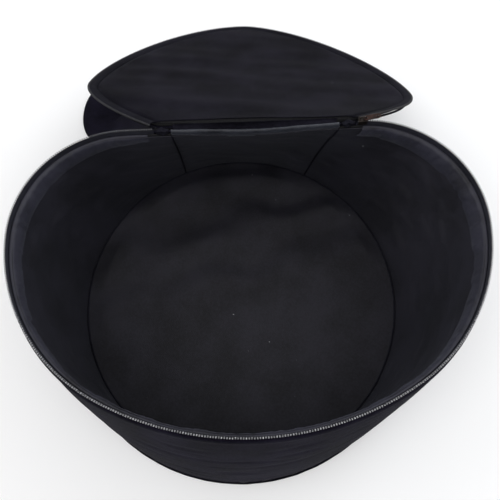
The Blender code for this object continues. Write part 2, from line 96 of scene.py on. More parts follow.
def setCamera():
    data = bpy.data.cameras.new("camera")
    data.lens = view["lens"]
    data.sensor_width = 36
    camera = bpy.data.objects.new("camera", data)
    bpy.context.scene.collection.objects.link(camera)
    down, turn, roll = (math.radians(view[key]) for key in ("down", "turn", "roll"))
    ahead = Vector((math.sin(turn) * math.cos(down), math.cos(turn) * math.cos(down), -math.sin(down)))
    right = ahead.cross(Vector((0, 0, 1))).normalized()
    up = right.cross(ahead)
    across = math.cos(roll) * right + math.sin(roll) * up
    upright = -math.sin(roll) * right + math.cos(roll) * up
    camera.matrix_world = axesAt(across, upright, -ahead, view["place"])
    bpy.context.scene.camera = camera


def setLights():
    for name in ("overhead", "window", "fill"):
        lamp = lamps[name]
        data = bpy.data.lights.new(name, "AREA")
        data.size = lamp["size"]
        data.energy = lamp["power"]
        data.color = lamp["tint"]
        light = bpy.data.objects.new(name, data)
        light.location = lamp["place"]
        light.rotation_euler = (Vector((0, 0.1, 0.1)) - light.location).to_track_quat("-Z", "Y").to_euler()
        bpy.context.scene.collection.objects.link(light)
    world = bpy.data.worlds.new("studio")
    world.use_nodes = True
    sky = world.node_tree.nodes["Background"]
    sky.inputs["Color"].default_value = (1, 1, 1, 1)
    sky.inputs["Strength"].default_value = lamps["world"]
    bpy.context.scene.world = world
    bpy.context.scene.view_settings.view_transform = "Standard"


def layFloor():
    bm = bmesh.new()
    bmesh.ops.create_grid(bm, x_segments=1, y_segments=1, size=12)
    mesh = bpy.data.meshes.new("studio_floor")
    bm.to_mesh(mesh)
    bm.free()
    floor = bpy.data.objects.new("studio_floor", mesh)
    floor.location.z = -0.0005
    bpy.context.scene.collection.objects.link(floor)
    paper = bpy.data.materials.new("floorPaper")
    paper.use_nodes = True
    shader = paper.node_tree.nodes["Principled BSDF"]
    shader.inputs["Base Color"].default_value = (*view["floor"], 1)
    shader.inputs["Roughness"].default_value = 0.9
    mesh.materials.append(paper)


setCamera()
setLights()
layFloor()
print("camera, lights and floor are set")


# Materials

def shaderOf(material):
    return material.node_tree.nodes["Principled BSDF"]


def newNode(material, kind, **sockets):
    node = material.node_tree.nodes.new(kind)
    for name, value in sockets.items():
        node.inputs[name].default_value = value
    return node


def sumOf(material, operation, first, second):
    node = material.node_tree.nodes.new("ShaderNodeMath")
    node.operation = operation
    for socket, value in zip(node.inputs, (first, second)):
        if isinstance(value, (int, float)):
            socket.default_value = value
        else:
            material.node_tree.links.new(value, socket)
    return node.outputs[0]


def mixedColor(material, share, dark, light):
    mix = material.node_tree.nodes.new("ShaderNodeMix")
    mix.data_type = "RGBA"
    material.node_tree.links.new(share, mix.inputs["Factor"])
    for socket, color in ((mix.inputs["A"], dark), (mix.inputs["B"], light)):
        if isinstance(color, tuple):
            socket.default_value = (*color, 1)
        else:
            material.node_tree.links.new(color, socket)
    return mix.outputs["Result"]


def ramp(material, value, low, high, least=0.0, most=1.0):
    limits = {"From Min": low, "From Max": high, "To Min": least, "To Max": most}
    node = newNode(material, "ShaderNodeMapRange", **limits)
    material.node_tree.links.new(value, node.inputs["Value"])
    return node.outputs["Result"]


def patches(material, scale, detail, low, high):
    # soft spots from 0 to 1 on the object's own coordinates
    where = newNode(material, "ShaderNodeTexCoord")
    spots = newNode(material, "ShaderNodeTexNoise", Scale=scale, Detail=detail, Roughness=0.6)
    material.node_tree.links.new(where.outputs["Object"], spots.inputs["Vector"])
    return ramp(material, spots.outputs["Fac"], low, high)


def placeOn(material, axis):
    # the object's own X, Y or Z
    where = newNode(material, "ShaderNodeTexCoord")
    parts = newNode(material, "ShaderNodeSeparateXYZ")
    material.node_tree.links.new(where.outputs["Object"], parts.inputs["Vector"])
    return parts.outputs[axis]


def addRelief(material, height, strength, distance):
    bump = newNode(material, "ShaderNodeBump", Strength=strength, Distance=distance)
    material.node_tree.links.new(height, bump.inputs["Height"])
    material.node_tree.links.new(bump.outputs["Normal"], shaderOf(material).inputs["Normal"])


def makeCloth(name, dark, light, roughness, sheen, thread, relief, ribbed=False, lint=0.0, shine=0.3,
              rimPaintedLight=0.0):
    # woven cloth on the piece's own UV map, which is in metres
    material = bpy.data.materials.new(name)
    material.use_nodes = True
    links = material.node_tree.links
    shader = shaderOf(material)
    shader.inputs["Roughness"].default_value = roughness
    shader.inputs["Sheen Weight"].default_value = sheen
    shader.inputs["Sheen Roughness"].default_value = 0.45
    shader.inputs["Sheen Tint"].default_value = (0.82, 0.86, 1.0, 1)
    shader.inputs["Specular IOR Level"].default_value = shine
    uv = newNode(material, "ShaderNodeUVMap")
    uv.uv_map = "cloth"
    split = newNode(material, "ShaderNodeSeparateXYZ")
    links.new(uv.outputs["UV"], split.inputs["Vector"])
    turns = 2 * math.pi / thread
    warp = sumOf(material, "SINE", sumOf(material, "MULTIPLY", split.outputs["X"], turns), 0)
    weft = sumOf(material, "SINE", sumOf(material, "MULTIPLY", split.outputs["Y"], turns), 0)
    weave = warp if ribbed else sumOf(material, "MULTIPLY", warp, weft)
    fuzz = sumOf(material, "MULTIPLY", patches(material, 900, 2, 0.3, 0.7), 0.9)
    addRelief(material, sumOf(material, "ADD", weave, fuzz), 0.55, relief)
    broad = sumOf(material, "MULTIPLY", patches(material, 11, 4, 0.38, 0.64), 0.70)
    grain = sumOf(material, "MULTIPLY", patches(material, 300, 3, 0.38, 0.66), 0.5)
    tone = sumOf(material, "ADD", broad, sumOf(material, "MULTIPLY", weave, 0.16))
    tone = sumOf(material, "ADD", tone, grain)
    if rimPaintedLight:
        # painted highlight: the folds just below the mouth are painted lighter, in soft patches, for the
        # light that falls on them near the opening
        high = ramp(material, placeOn(material, "Z"), 0.13, 0.225)
        paintedRimLight = sumOf(material, "MULTIPLY", high, patches(material, 19, 4, 0.44, 0.66))
        tone = sumOf(material, "ADD", tone, sumOf(material, "MULTIPLY", paintedRimLight, rimPaintedLight))
    color = mixedColor(material, tone, dark, light)
    if lint:
        specks = patches(material, 210, 0, 1 - lint, 1.02 - lint)
        color = mixedColor(material, specks, color, (0.30, 0.31, 0.33))
    links.new(color, shader.inputs["Base Color"])
    return material


def makeSmooth(name, dark, light, roughness, scale, relief, metallic=0.0, coat=0.0, paintedFrontGlint=False):
    # moulded plastic, foam or metal, with a fine grain and spots of tone and worn roughness; on the zip's
    # teeth the light tone is a painted glint
    material = bpy.data.materials.new(name)
    material.use_nodes = True
    links = material.node_tree.links
    shader = shaderOf(material)
    shader.inputs["Metallic"].default_value = metallic
    shader.inputs["Coat Weight"].default_value = coat
    tone = patches(material, scale, 5, 0.36, 0.66)
    if paintedFrontGlint:
        # painted glints: lighter at the front of the bag where the light catches the teeth, shaded darker at
        # the back under the lid
        front = ramp(material, placeOn(material, "Y"), 0.16, -0.14, 0.18)
        tone = sumOf(material, "MULTIPLY", tone, front)
    links.new(mixedColor(material, tone, dark, light), shader.inputs["Base Color"])
    spots = patches(material, scale * 3, 3, 0.3, 0.7)
    rough = ramp(material, spots, 0, 1, roughness * 0.8, min(1, roughness * 1.25))
    links.new(rough, shader.inputs["Roughness"])
    addRelief(material, patches(material, scale * 8, 3, 0.3, 0.7), 0.5, relief)
    return material


# cloths: dark, light, roughness, sheen, thread spacing, relief, and what else is special
cloths = {
    "shellNylon": ((0.0008, 0.0006, 0.0030), (0.0084, 0.0074, 0.0168), 0.85, 0.01, 0.0011, 0.00022,
                   {"lint": 0.065, "shine": 0.08}),
    # the lining and the facing take painted highlights on their folds near the mouth
    "liningNylon": ((0.0028, 0.0027, 0.0050), (0.0125, 0.0120, 0.0190), 0.54, 0.05, 0.0009, 0.00016,
                    {"lint": 0.068, "rimPaintedLight": 1.1}),
    "floorNylon": ((0.0026, 0.0025, 0.0046), (0.0125, 0.0120, 0.0180), 0.58, 0.03, 0.0009, 0.00016,
                   {"lint": 0.068, "shine": 0.24}),
    "facingNylon": ((0.0034, 0.0033, 0.0068), (0.0190, 0.0188, 0.0320), 0.46, 0.12, 0.0009, 0.00016,
                    {"shine": 0.4, "rimPaintedLight": 1.0}),
    "zipTape": ((0.0045, 0.0045, 0.0085), (0.0170, 0.0168, 0.0270), 0.50, 0.10, 0.0014, 0.0003,
                {"ribbed": True}),
    "lidNylon": ((0.0006, 0.0005, 0.0018), (0.0092, 0.0085, 0.0146), 0.78, 0.01, 0.0010, 0.00018,
                 {"lint": 0.068, "shine": 0.05}),
    "bindingTape": ((0.0024, 0.0024, 0.0048), (0.0095, 0.0092, 0.0150), 0.90, 0.0, 0.0014, 0.0003,
                    {"ribbed": True, "shine": 0.1}),
    "satinRibbon": ((0.0045, 0.0052, 0.0085), (0.0280, 0.0310, 0.0420), 0.34, 0.15, 0.0012, 0.0002,
                    {"ribbed": True, "shine": 0.4}),
    "strapWebbing": ((0.0070, 0.0070, 0.0095), (0.0180, 0.0180, 0.0230), 0.62, 0.08, 0.0022, 0.0005, {}),
    "seamThread": ((0.022, 0.022, 0.028), (0.050, 0.050, 0.060), 0.6, 0.1, 0.0006, 0.0001, {}),
}
# smooth finishes: dark, light, roughness, size of the grain, relief, and what else is special
smooths = {
    # the teeth's light tone is a painted glint, bright at the front of the bag and shaded towards the back
    "zipTeeth": ((0.016, 0.016, 0.020), (0.46, 0.46, 0.48), 0.24, 420, 0.00008, {"coat": 0.4, "paintedFrontGlint": True}),
    "lidTeeth": ((0.004, 0.004, 0.006), (0.030, 0.030, 0.036), 0.60, 420, 0.00008, {}),
    "paddingFoam": ((0.007, 0.007, 0.009), (0.016, 0.016, 0.019), 0.9, 300, 0.0004, {}),
    "sliderMetal": ((0.010, 0.008, 0.007), (0.045, 0.036, 0.031), 0.34, 160, 0.0001, {"metallic": 0.8}),
    "pullMetal": ((0.012, 0.0055, 0.0040), (0.052, 0.022, 0.016), 0.40, 160, 0.0001, {"metallic": 0.5}),
    "bucklePlastic": ((0.010, 0.010, 0.012), (0.022, 0.022, 0.025), 0.42, 90, 0.00015, {}),
}
finishes = {name: makeCloth(name, *look[:-1], **look[-1]) for name, look in cloths.items()}
finishes.update({name: makeSmooth(name, *look[:-1], **look[-1]) for name, look in smooths.items()})
print("materials are made:", len(finishes))


# Shaping tools

def wave(point, size, seed=0.0):
    return noise.noise(Vector(point) / size + Vector((seed, 2 * seed, -seed)))


def finishPiece(name, bm, finish, body=None, replaced=(), smooth=True):
    mesh = bpy.data.meshes.new(name)
    bm.to_mesh(mesh)
    bm.free()
    mesh.materials.append(finishes[finish])
    if smooth:
        mesh.shade_smooth()
    piece = bpy.data.objects.new(name, mesh)
    bpy.context.scene.collection.objects.link(piece)
    if replaced:
        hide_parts(*replaced)
    if body:
        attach(piece, body)
    return piece


def addFlatMap(bm, width, length):
    # the flat grid's own coordinates, in metres, before the grid is shaped
    cloth = bm.loops.layers.uv.new("cloth")
    for face in bm.faces:
        for loop in face.loops:
            loop[cloth].uv = ((loop.vert.co.x + 0.5) * width, (loop.vert.co.y + 0.5) * length)


def shapedGrid(columns, rows, width, length, place, closed=False):
    # place gives the spot of the flat grid's u and v, each from 0 to 1
    bm = bmesh.new()
    bmesh.ops.create_grid(bm, x_segments=columns, y_segments=rows, size=0.5)
    addFlatMap(bm, width, length)
    for vert in bm.verts:
        vert.co = place(vert.co.x + 0.5, vert.co.y + 0.5)
    if closed:
        bmesh.ops.remove_doubles(bm, verts=bm.verts, dist=0.00002)
    return bm


def thicken(piece, thickness, offset):
    # offset -1 grows against the faces' normals, 1 along them
    wall = piece.modifiers.new("thickness", "SOLIDIFY")
    wall.thickness = thickness
    wall.offset = offset
    wall.use_even_offset = True
    settle(piece)


def settle(piece):
    graph = bpy.context.evaluated_depsgraph_get()
    mesh = bpy.data.meshes.new_from_object(piece.evaluated_get(graph))
    piece.modifiers.clear()
    piece.data = mesh


def roundEdges(bm, edges, offset, segments):
    bmesh.ops.bevel(bm, geom=edges, offset=offset, offset_type="OFFSET", affect="EDGES", segments=segments,
                    profile=0.5, material=-1)


def discSpot(u, v, radius):
    # a square grid drawn round, so that the cloth keeps its straight weave
    x, y = 2 * u - 1, 2 * v - 1
    return radius * Vector((x * math.sqrt(1 - y * y / 2), y * math.sqrt(1 - x * x / 2), 0))


def closeEnds(bm):
    edges = [edge for edge in bm.edges if edge.is_boundary]
    bmesh.ops.holes_fill(bm, edges=edges, sides=0)
    bmesh.ops.recalc_face_normals(bm, faces=bm.faces)


def strand(name, points, radius, finish, body, closed=False, replaced=(), sides=8, upright=(0, 0, 1)):
    # a round cord, thread or piping along a row of points
    bm = bmesh.new()
    count = len(points) if closed else len(points) - 1
    bmesh.ops.create_grid(bm, x_segments=sides, y_segments=count, size=0.5)
    length = sum((b - a).length for a, b in zip(points, points[1:]))
    addFlatMap(bm, 2 * math.pi * radius, length)
    rings = []
    for i, point in enumerate(points):
        ahead = points[(i + 1) % len(points)] if closed or i + 1 < len(points) else point
        behind = points[i - 1] if closed or i else point
        along = (ahead - behind).normalized()
        side = along.cross(Vector(upright))
        side = side.normalized() if side.length > 0.05 else Vector((1, 0, 0))
        rings.append((point, side, side.cross(along)))
    for vert in bm.verts:
        point, side, up = rings[round((vert.co.y + 0.5) * count) % len(points)]
        angle = 2 * math.pi * (vert.co.x + 0.5)
        vert.co = point + radius * (math.cos(angle) * side + math.sin(angle) * up)
    bmesh.ops.remove_doubles(bm, verts=bm.verts, dist=0.00001)
    closeEnds(bm)
    return finishPiece(name, bm, finish, body, replaced)


def stitchRow(name, spots, size, finish, body):
    # spots holds (middle, along, up) for each stitch; a stitch is a small rounded bead of thread
    bm = bmesh.new()
    for middle, along, up in spots:
        across = along.cross(up).normalized()
        turn = axesAt(along.normalized(), across, up.normalized(), middle)
        bmesh.ops.create_icosphere(bm, subdivisions=1, radius=0.5, matrix=turn @ Matrix.Diagonal((*size, 1)))
    cloth = bm.loops.layers.uv.new("cloth")
    for face in bm.faces:
        for loop in face.loops:
            loop[cloth].uv = (loop.vert.co.x, loop.vert.co.y)
    return finishPiece(name, bm, finish, body)


# The mouth's outline and the wall below it

bag = {
    "floorRadius": 0.280,
    "floorTop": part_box("base_lining")[1].z,
    "wallFoot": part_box("wall_lining")[0].z,
    "wallTop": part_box("wall_lining")[1].z,
    "outerRadius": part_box("base_outer_panel")[1].x,
    "rim": 0.008,           # wall thickness at the top
    "bulge": 0.006,
    "twist": 3.8,           # degrees that the mouth has turned against the base
    "lean": 0.018,          # the mouth's middle is this far to +X
    "sideRadius": 0.2716,
    "sideSweep": 60,
    "hingeSag": 0.007,      # the hinge panel's top hangs this much lower in its middle
}
panelHalf = 0.1316          # half of the hinge panel, along the mouth
zipStart = 0.160            # middle of the hinge to the end of the zip
mouthBack = hingeAxis.y
lobeRadius = mouthBack - lobeCentre.y
mouthStraight = lobeCentre.x - bag["lean"]
zipHeight = lobeCentre.z


def heading(angle):
    return Vector((math.cos(angle), math.sin(angle)))


def mouthArcs():
    sweep = math.radians(bag["sideSweep"])
    lobe = Vector((mouthStraight, lobeCentre.y))
    side = lobe - Vector((bag["sideRadius"] - lobeRadius, 0))
    frontRadius = bag["sideRadius"] + side.x / math.cos(sweep)
    front = side - (frontRadius - bag["sideRadius"]) * heading(-sweep)
    return [(lobe, lobeRadius, halfTurn, 0), (side, bag["sideRadius"], 0, -sweep),
            (front, frontRadius, -sweep, -halfTurn)]


mouthPath = mouthArcs()
mouthLength = 2 * (mouthStraight + sum(radius * (first - last) for _, radius, first, last in mouthPath))


def mouthSpot(distance, outward=0.0):
    # clockwise from the middle of the hinge: the place and the outward direction
    along = (distance + hingeAxis.x - bag["lean"]) % mouthLength
    side = 1
    if along > mouthLength / 2:
        along = mouthLength - along
        side = -1
    if along <= mouthStraight:
        point, normal = Vector((along, mouthBack)), Vector((0, 1))
    else:
        along -= mouthStraight
        for centre, radius, first, last in mouthPath:
            angle = first - along / radius
            if angle >= last - 1e-9:
                break
            along -= radius * (first - last)
        normal = heading(angle)
        point = centre + radius * normal
    point = point + outward * normal
    return Vector((side * point.x + bag["lean"], point.y)), Vector((side * normal.x, normal.y))


def hingeSag(distance):
    away = abs((distance + mouthLength / 2) % mouthLength - mouthLength / 2)
    return bag["hingeSag"] * math.cos(halfTurn * away / panelHalf) ** 2 if away < panelHalf else 0


def riseOf(height):
    # 0 at the floor, 1 at the mouth
    return (height - bag["floorTop"]) / (bag["wallTop"] - bag["floorTop"])


def wallSpot(distance, height, depth=0.0, outside=False):
    # depth runs into the wall from its inner face, or from its outer one
    base = heading(halfTurn - math.radians(bag["twist"]) - 2 * math.pi * distance / mouthLength)
    rise = max(0.0, riseOf(height))
    bulge = 4 * bag["bulge"] * rise * (1 - rise)
    ends = []
    for radius, outward in ((bag["floorRadius"], -bag["rim"] / 2), (bag["outerRadius"], bag["rim"] / 2)):
        top, normal = mouthSpot(distance, outward)
        ends.append(Vector((*((base * radius).lerp(top, rise) + bulge * normal), height)))
    through = (ends[1] - ends[0]).normalized()
    spot = ends[1] - depth * through if outside else ends[0] + depth * through
    spot.z -= hingeSag(distance) * max(0, rise) ** 2
    return spot


# Cloth inside the bag

lining = {
    "thickness": 0.0011,
    "sag": 0.0062,          # how far the soft folds of the wall stand proud
    "foldSize": 0.085,
    "pucker": 0.0016,       # gathers at the floor seam
    "puckerWidth": 0.019,
    "floorWave": 0.0042,
    "facingHeight": 0.030,
    "facingCurl": 0.0045,   # height over which the facing turns in to the zip
    "facingPucker": 0.0046,
    "stitch": (0.0030, 0.0007, 0.0007),
    "stitchPitch": 0.0050,
    "welt": 0.0012,         # radius of the binding round the floor
    "seam": 0.0015,         # radius of the upright bindings
}


def wallFold(distance, height):
    # the lining's own soft folds, towards the inside
    spot = wallSpot(distance, height)
    rise = riseOf(height)
    calm = min(1, max(0, rise) * 6) * min(1, max(0, 1.04 - rise) * 5)
    broad = max(0, wave((spot.x, spot.y, 0.45 * spot.z), lining["foldSize"], 3.1) + 0.25)
    cross = max(0, wave((spot.x + 0.7 * spot.z, spot.y, 1.6 * spot.z), 0.042, 7.7))
    low = math.exp(-max(0, height - bag["floorTop"]) / 0.030)
    gather = 0.5 + 0.5 * wave((distance, 0, 0.2 * height), lining["puckerWidth"], 1.3)
    return lining["sag"] * calm * (broad + 0.45 * cross) + lining["pucker"] * low * gather


def wallLiningPiece(name, start, end, columns, node):
    low, high = bag["wallFoot"], bag["wallTop"]

    def place(u, v):
        distance = start + (end - start) * u
        height = low + (high - low) * v
        return wallSpot(distance, height, -wallFold(distance, height))

    bm = shapedGrid(columns, 64, end - start, high - low, place)
    piece = finishPiece(name, bm, "liningNylon", "bag", (node,))
    thicken(piece, lining["thickness"], 1)


def floorPlace(u, v):
    radius = bag["floorRadius"] - 0.0016
    spot = discSpot(u, v, radius)
    edge = 1 - spot.length / radius
    calm = min(1, 9 * edge)
    slant = (spot.y - 0.22 * spot.x) / 0.052 + 0.7 * wave((spot.x, spot.y, 0), 0.11, 5.2)
    back = 0.5 + 0.5 * math.tanh((spot.y - 0.02) / 0.06)
    waves = lining["floorWave"] * back * math.sin(2 * math.pi * 0.5 * slant)
    dimple = 0.0011 * wave((spot.x, spot.y, 0), 0.06, 9.4)
    lift = 0.0006 + lining["floorWave"] * back + waves + dimple
    return Vector((spot.x, spot.y, bag["floorTop"] + 0.0012 + calm * lift))


def makeInside():
    bm = shapedGrid(150, 150, 2 * bag["floorRadius"], 2 * bag["floorRadius"], floorPlace)
    floor = finishPiece("floor_lining", bm, "floorNylon", "bag", ("base_lining",))
    thicken(floor, lining["thickness"], -1)
    panelEnd, wallStart = panelHalf - 0.0004, panelHalf + 0.0004
    wallLiningPiece("hinge_panel_cloth", -panelEnd, panelEnd, 90, "hinge_panel_lining")
    wallLiningPiece("wall_cloth", wallStart, mouthLength - wallStart, 560, "wall_lining")
    seam = []
    for i in range(360):
        angle = 2 * math.pi * i / 360
        radius = bag["floorRadius"] - 0.0042 + 0.0006 * wave((math.cos(angle), math.sin(angle), 0), 0.05, 2.2)
        seam.append(Vector((radius * math.cos(angle), radius * math.sin(angle), bag["floorTop"] + 0.0022)))
    welt = strand("floor_seam_welt", seam, lining["welt"], "bindingTape", "bag", closed=True,
                  replaced=("floor_seam_binding",))
    for name, distance in (("left", -panelHalf), ("right", panelHalf)):
        low, high = bag["floorTop"] + 0.0036, bag["wallTop"] - 0.0036
        points = []
        for i in range(61):
            height = low + (high - low) * i / 60
            proud = wallFold(distance, height) + 0.0016 + 0.0005 * wave((height, distance, 0), 0.012, 4.4)
            points.append(wallSpot(distance, height, -proud))
        strand(name + "_panel_seam", points, lining["seam"], "bindingTape", "bag",
               replaced=(name + "_seam_binding",))
    print("inside cloth is laid")


def facingPlace(start, end):
    def place(u, v):
        distance = start + (end - start) * u
        turn = halfTurn * max(0, v - 0.8) / 0.2
        top = bag["wallTop"] - lining["facingCurl"]
        height = top - lining["facingHeight"] * max(0, 0.8 - v)
        spot = wallSpot(distance, height)
        broad = 0.5 + 0.5 * wave((spot.x, spot.y, 0), 0.034, 11.3)
        fine = 0.5 + 0.5 * wave((distance, 0.3 * height, 0), 0.0085, 6.1)
        belly = math.sin(math.pi * min(1, 0.02 + 0.98 * v)) ** 0.8
        hem = 0.0004 * wave((distance, 0, 0), 0.006, 8.8)
        proud = 0.0012 + lining["facingPucker"] * belly * (0.95 * broad ** 2 + 0.75 * fine) + hem
        spot = wallSpot(distance, height, -proud)
        if turn:
            foot = mouthSpot(distance, -0.0014)[0]
            flat = foot.lerp(Vector((spot.x, spot.y)), math.cos(turn))
            spot = Vector((*flat, spot.z + (lining["facingCurl"] + 0.0006) * math.sin(turn)))
        return spot
    return place


def makeFacing():
    start = zipStart + 0.010
    end = mouthLength - start
    place = facingPlace(start, end)
    bm = shapedGrid(760, 24, end - start, lining["facingHeight"], place)
    band = finishPiece("rim_facing", bm, "facingNylon", "bag", ("rim_facing_band",))
    thicken(band, 0.0008, 1)
    spots = []
    count = int((end - start) / lining["stitchPitch"])
    for i in range(count):
        u = (i + 0.5) / count
        here, there = place(u, 0.12), place(u + 0.0004, 0.12)
        behind = wallSpot(start + (end - start) * u, bag["wallTop"] - 0.02, 0.01)
        inward = (here - behind).normalized()
        spots.append((here + 0.0003 * inward, there - here, inward))
    stitches = stitchRow("rim_facing_stitches", spots, lining["stitch"], "seamThread", "bag")
    print("rim facing is gathered")


makeInside()
makeFacing()


# Padding and outer cloth

shell = {
    "cloth": 0.0013,
    "dent": 0.0030,
    "rimCurl": 0.007,       # height over which the outer cloth turns in to the zip
    "stitch": (0.0042, 0.0010, 0.0010),
    "stitchPitch": 0.0084,
    "baseEdge": 0.0022,     # rounding of the base's foam
}


def shellDent(distance, height):
    # shallow creases, always inwards so that the bag keeps its size
    spot = wallSpot(distance, height, 0, True)
    rise = riseOf(height)
    calm = min(1, max(0, rise) * 5) * min(1, max(0, 1.02 - rise) * 6)
    broad = 0.5 + 0.5 * wave((spot.x, spot.y, 2.2 * spot.z), 0.10, 2.9)
    crease = max(0, wave((0.4 * spot.x, 0.4 * spot.y, 2.6 * spot.z), 0.034, 5.5))
    foot = 0.0012 * math.exp(-max(0, height - bag["wallFoot"]) / 0.02)
    gather = 0.5 + 0.5 * wave((distance, 0, 0), 0.02, 3.3)
    return shell["dent"] * calm * (0.6 * broad ** 2 + 0.7 * crease) + foot * gather


def paddingSection(distance, v):
    # once round the foam: up its inner face, over its top, down its outer face
    low, high = bag["wallFoot"] + 0.001, bag["wallTop"] - 0.004
    inset = 0.0016
    if v < 0.46:
        height = low + (high - low) * v / 0.46
        return wallSpot(distance, height, inset)
    if v < 0.54:
        share = (v - 0.46) / 0.08
        inner, outer = wallSpot(distance, high, inset), wallSpot(distance, high, shell["cloth"] + inset, True)
        spot = inner.lerp(outer, share)
        spot.z += 0.0018 * math.sin(math.pi * share)
        return spot
    if v < 0.96:
        height = high - (high - low) * (v - 0.54) / 0.42
        return wallSpot(distance, height, shell["cloth"] + 0.0006 + shellDent(distance, height), True)
    share = (v - 0.96) / 0.04
    return wallSpot(distance, low, shell["cloth"] + 0.002, True).lerp(wallSpot(distance, low, inset), share)


def makeWallShell():
    bm = shapedGrid(360, 50, mouthLength, 0.48, lambda u, v: paddingSection(u * mouthLength, v), closed=True)
    bmesh.ops.recalc_face_normals(bm, faces=bm.faces)
    padding = finishPiece("wall_padding", bm, "paddingFoam", "bag", ("wall_foam_pad",))
    low, top = bag["wallFoot"], bag["wallTop"]
    curl = top - shell["rimCurl"]

    def place(u, v):
        distance = u * mouthLength
        if v < 0.88:
            height = low + (curl - low) * v / 0.88
            return wallSpot(distance, height, shellDent(distance, height), True)
        turn = (v - 0.88) / 0.12 * halfTurn
        height = curl + (top - curl) * math.sin(turn)
        edge = wallSpot(distance, curl, 0, True)
        tapeFoot = mouthSpot(distance, 0.0011)[0]
        spot = tapeFoot.lerp(Vector((edge.x, edge.y)), math.cos(turn))
        return Vector((*spot, height))

    bm = shapedGrid(520, 70, mouthLength, 0.226, place, closed=True)
    cloth = finishPiece("wall_shell_cloth", bm, "shellNylon", "bag", ("wall_outer_panel",))
    thicken(cloth, shell["cloth"], -1)
    spots = []
    count = int(mouthLength / shell["stitchPitch"])
    for i in range(count):
        distance = mouthLength * (i + 0.5) / count
        here, normal = mouthSpot(distance, 0.0036)
        if min(distance, mouthLength - distance) < zipStart + 0.012:
            continue
        side = Vector((-normal.y, normal.x, 0.25))
        spots.append((Vector((*here, top - 0.0006)), side, Vector((*normal, 1.6))))
    # the topstitch shares the teeth's finish, with its painted glints at the front
    stitches = stitchRow("rim_topstitch", spots, shell["stitch"], "zipTeeth", "bag")
    print("wall padding and shell are made")


def makeBase():
    low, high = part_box("base_foam_pad")[0].z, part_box("base_foam_pad")[1].z
    radius = bag["floorRadius"] - 0.002
    bm = bmesh.new()
    bmesh.ops.create_cone(bm, cap_ends=True, segments=128, radius1=radius, radius2=radius, depth=high - low,
                          matrix=Matrix.Translation((0, 0, (low + high) / 2)))
    rims = [edge for edge in bm.edges if abs(edge.verts[0].co.z - edge.verts[1].co.z) < 1e-6]
    roundEdges(bm, rims, shell["baseEdge"], 3)
    padding = finishPiece("base_padding", bm, "paddingFoam", "bag", ("base_foam_pad",), smooth=False)
    bottom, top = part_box("base_outer_panel")[0].z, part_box("base_outer_panel")[1].z
    reach = bag["outerRadius"]

    def place(u, v):
        spot = discSpot(u, v, reach)
        calm = min(1, 8 * (1 - spot.length / reach))
        spot.z = bottom + 0.0002 + 0.0006 * calm * (0.5 + 0.5 * wave((spot.x, spot.y, 0), 0.07, 6.6))
        return spot

    bm = shapedGrid(110, 110, 2 * reach, 2 * reach, place)
    for face in bm.faces:
        face.normal_flip()
    under = finishPiece("base_shell_cloth", bm, "shellNylon", "bag", ("base_outer_panel",))
    thicken(under, top - bottom - 0.0008, -1)
    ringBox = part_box("base_piping")
    pipe = (ringBox[1].z - ringBox[0].z) / 2 + 0.0001
    points = []
    for i in range(300):
        angle = 2 * math.pi * i / 300
        away = ringBox[1].x - pipe + 0.0005 * wave((math.cos(angle), math.sin(angle), 0), 0.06, 4.1)
        points.append(Vector((away * math.cos(angle), away * math.sin(angle), pipe + 0.0001)))
    piping = strand("base_edge_piping", points, pipe, "bindingTape", "bag", closed=True,
                    replaced=("base_piping",))
    print("base is made")


makeWallShell()
makeBase()


# Zip round the mouth, with its end tabs

zipper = {
    "pitch": 0.0036,
    "tooth": (0.0018, 0.0030, 0.0036),   # along, through and up
    "toothEdge": 0.00055,
    "tape": 0.0009,
    "lidRun": 1.30,         # length that sets how many teeth the lid has
    "lidInset": 0.0018,     # from the lid's edge to its teeth
}


def toothRow(name, places, finish, body, replaced):
    # places holds a matrix for each tooth: X along the zip, Z away from the tape
    bm = bmesh.new()
    for place in places:
        bmesh.ops.create_cube(bm, size=1.0, matrix=place @ Matrix.Diagonal((*zipper["tooth"], 1)))
    roundEdges(bm, bm.edges[:], zipper["toothEdge"], 1)
    return finishPiece(name, bm, finish, body, replaced)


def makeMouthZip():
    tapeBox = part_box("mouth_zip_tape")
    low, high = tapeBox[0].z - 0.0008, tapeBox[1].z + 0.0004
    start, end = zipStart, mouthLength - zipStart

    def place(u, v):
        distance = start + (end - start) * u
        ripple = 0.00045 * wave((distance, v * 0.004, 0), 0.018, 3.9) * math.sin(math.pi * v)
        spot, _ = mouthSpot(distance, ripple)
        return Vector((*spot, low + (high - low) * v))

    bm = shapedGrid(520, 8, end - start, high - low, place)
    tape = finishPiece("mouth_zip_cloth", bm, "zipTape", "bag", ("mouth_zip_tape",))
    thicken(tape, zipper["tape"], 0)
    count = round((end - start) / zipper["pitch"])
    places = []
    for i in range(count):
        spot, normal = mouthSpot(start + (end - start) * (i + 0.5) / count)
        run = Vector((normal.y, -normal.x, 0))
        places.append(axesAt(run, Vector((*normal, 0)), Vector((0, 0, 1)), (*spot, zipHeight)))
    teeth = toothRow("mouth_zip_teeth", places, "zipTeeth", "bag", ("mouth_zip_coil",))
    for side, sign in (("left", -1), ("right", 1)):
        makeEndTab(side + "_zip_end_bunch", sign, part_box(side + "_zip_end_tab"), side + "_zip_end_tab")
    print("mouth zip has", count, "teeth")


